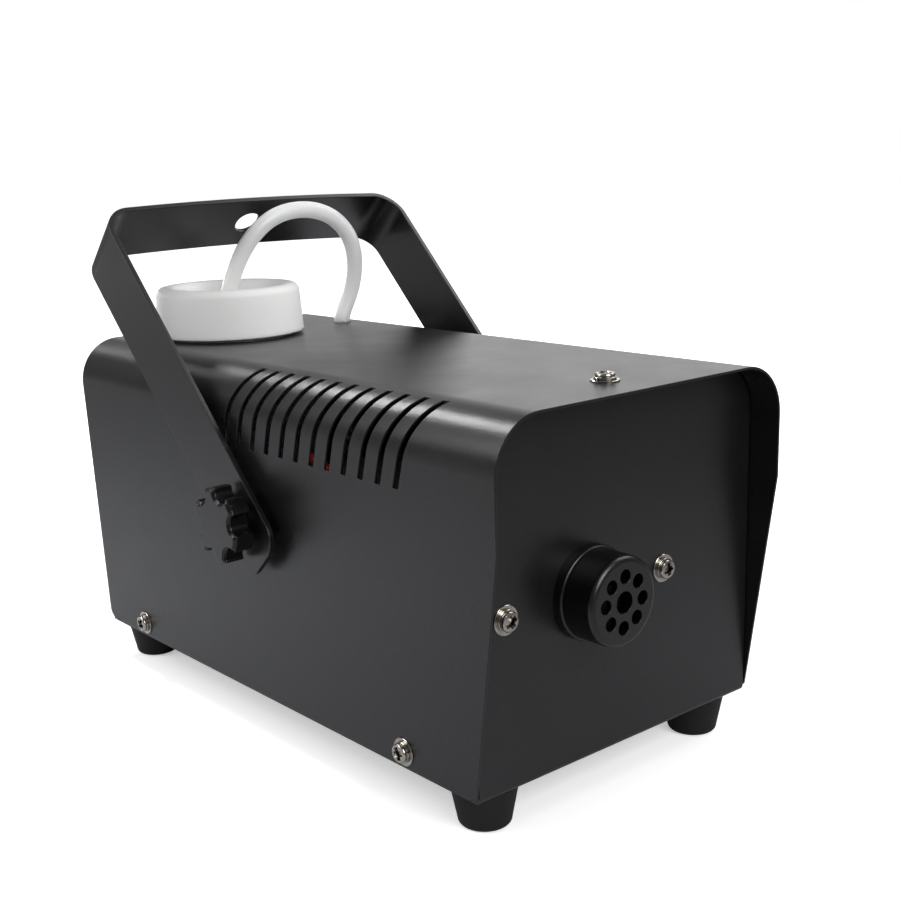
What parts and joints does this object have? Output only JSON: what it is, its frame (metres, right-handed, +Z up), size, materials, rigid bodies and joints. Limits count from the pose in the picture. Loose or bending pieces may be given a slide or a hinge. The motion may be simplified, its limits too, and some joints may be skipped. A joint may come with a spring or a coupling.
{
  "type": "fog machine",
  "caption": "Small black steel fog machine with a tilting strap handle, front nozzle and a white refill cap joined to its pump by a looped clear hose.",
  "frame": {"origin": "on the ground, under the middle of the case and halfway between the front of the nozzle and the end of the rear gland", "axes": "+X runs across the machine so that the nozzle is at negative X, left of the middle as seen from the front; the nozzle points along -Y; +Z is up"},
  "size_m": [0.156, 0.2568, 0.1834],
  "materials": {
    "case_paint": "fine-textured black powder coat on folded steel sheet",
    "handle_paint": "smooth satin black paint on steel strip",
    "black_rubber": "matte black rubber",
    "dark_nickel": "dark nickel plating",
    "zinc_steel": "bright zinc plating",
    "knob_plastic": "semi-gloss black moulding",
    "nozzle_black": "matte heat-resistant black",
    "brass": "turned brass",
    "blackened_brass": "turned brass, blackened by heat",
    "cast_aluminium": "as-cast aluminium",
    "rod_steel": "ground steel",
    "glass_fibre": "woven glass-fibre mat",
    "bright_sheet": "galvanised sheet",
    "dark_phenolic": "dark moulded phenolic",
    "white_polythene": "satin white polyethylene",
    "pale_rubber": "pale soft rubber",
    "clear_hose": "translucent silicone, slightly milky",
    "white_ptfe": "white fluoropolymer",
    "cream_nylon": "natural nylon",
    "black_moulding": "black moulded plastic, satin",
    "spring_steel": "bright spring wire",
    "board_green": "green solder mask",
    "board_parts": "blue and black component bodies",
    "receiver_blue": "blue solder mask",
    "red_moulding": "red translucent moulding",
    "fuse_glass": "clear glass tube with plated ends",
    "red_lens": "red diffusing lens",
    "red_wire": "red silicone insulation",
    "black_wire": "black wire insulation"
  },
  "bodies": {
    "housing": {"top_cover": "case_paint", "chassis": "case_paint", "rear_panel": "case_paint", "panel_rivets": "dark_nickel", "rubber_feet": "black_rubber", "foot_screws": "dark_nickel", "foot_nuts": "zinc_steel", "handle_spacers": "black_rubber", "pivot_nuts": "zinc_steel", "cover_screws": "dark_nickel", "cover_washers": "dark_nickel", "clinch_nuts": "zinc_steel", "heater_screws": "dark_nickel", "heater_washers": "dark_nickel", "heater_standoffs": "zinc_steel", "nozzle_cap": "nozzle_black", "nozzle_collar": "nozzle_black", "nozzle_jet": "blackened_brass", "heater_block": "cast_aluminium", "heater_rods": "rod_steel", "heater_wrap": "glass_fibre", "heater_sleeve": "bright_sheet", "heater_stand": "bright_sheet", "thermostat": "dark_phenolic", "thermal_fuse": "brass", "fluid_tank": "white_polythene", "suction_tube": "clear_hose", "tank_filter": "bright_sheet", "supply_hose": "clear_hose", "feed_hose": "clear_hose", "delivery_tube": "white_ptfe", "pump_tube": "cream_nylon", "pump_coil": "black_moulding", "pump_frame": "zinc_steel", "pump_mount": "black_rubber", "pump_spring": "spring_steel", "circuit_board": "board_green", "board_pillars": "cream_nylon", "board_parts": "board_parts", "receiver_module": "receiver_blue", "power_switch": "black_moulding", "fuse_holder": "black_moulding", "glass_fuse": "fuse_glass", "remote_socket": "black_moulding", "mains_gland": "black_moulding", "gland_nut": "black_moulding", "ready_light": "red_lens", "heater_wires": "red_wire", "mains_wires": "black_wire"},
    "handle": {"handle_bracket": "handle_paint"},
    "left_knob": {"knob_left": "knob_plastic", "stud_left": "zinc_steel"},
    "right_knob": {"knob_right": "knob_plastic", "stud_right": "zinc_steel"},
    "cap": {"tank_cap": "white_polythene", "cap_seal": "pale_rubber"},
    "rocker": {"power_rocker": "red_moulding"},
    "fuse_carrier": {"fuse_cap": "black_moulding"},
    "plunger": {"pump_plunger": "rod_steel"}
  },
  "joints": [
    {"name": "handle_tilt", "type": "hinge", "parent": "housing", "child": "handle", "pos_m": [0, -0.0021, 0.0805], "axis": [1, 0, 0], "range_deg": [-7, 105]},
    {"name": "left_knob_turn", "type": "hinge", "parent": "housing", "child": "left_knob", "pos_m": [-0.07, -0.0021, 0.0805], "axis": [-1, 0, 0], "continuous": true},
    {"name": "right_knob_turn", "type": "hinge", "parent": "housing", "child": "right_knob", "pos_m": [0.07, -0.0021, 0.0805], "axis": [1, 0, 0], "continuous": true},
    {"name": "cap_turn", "type": "hinge", "parent": "housing", "child": "cap", "pos_m": [-0.012, 0.0874, 0.14], "axis": [0, 0, 1], "range_deg": [0, 450]},
    {"name": "rocker_tip", "type": "hinge", "parent": "housing", "child": "rocker", "pos_m": [0.04, 0.1144, 0.1024], "axis": [1, 0, 0], "range_deg": [-18, 0]},
    {"name": "fuse_carrier_turn", "type": "hinge", "parent": "housing", "child": "fuse_carrier", "pos_m": [0.04, 0.1194, 0.0774], "axis": [0, 1, 0], "range_deg": [0, 90]},
    {"name": "plunger_stroke", "type": "slide", "parent": "housing", "child": "plunger", "axis": [0, 1, 0], "range_m": [-0.0015, 0.0015], "stiffness_N_per_m": 500, "deforming": ["pump_spring"]}
  ]
}
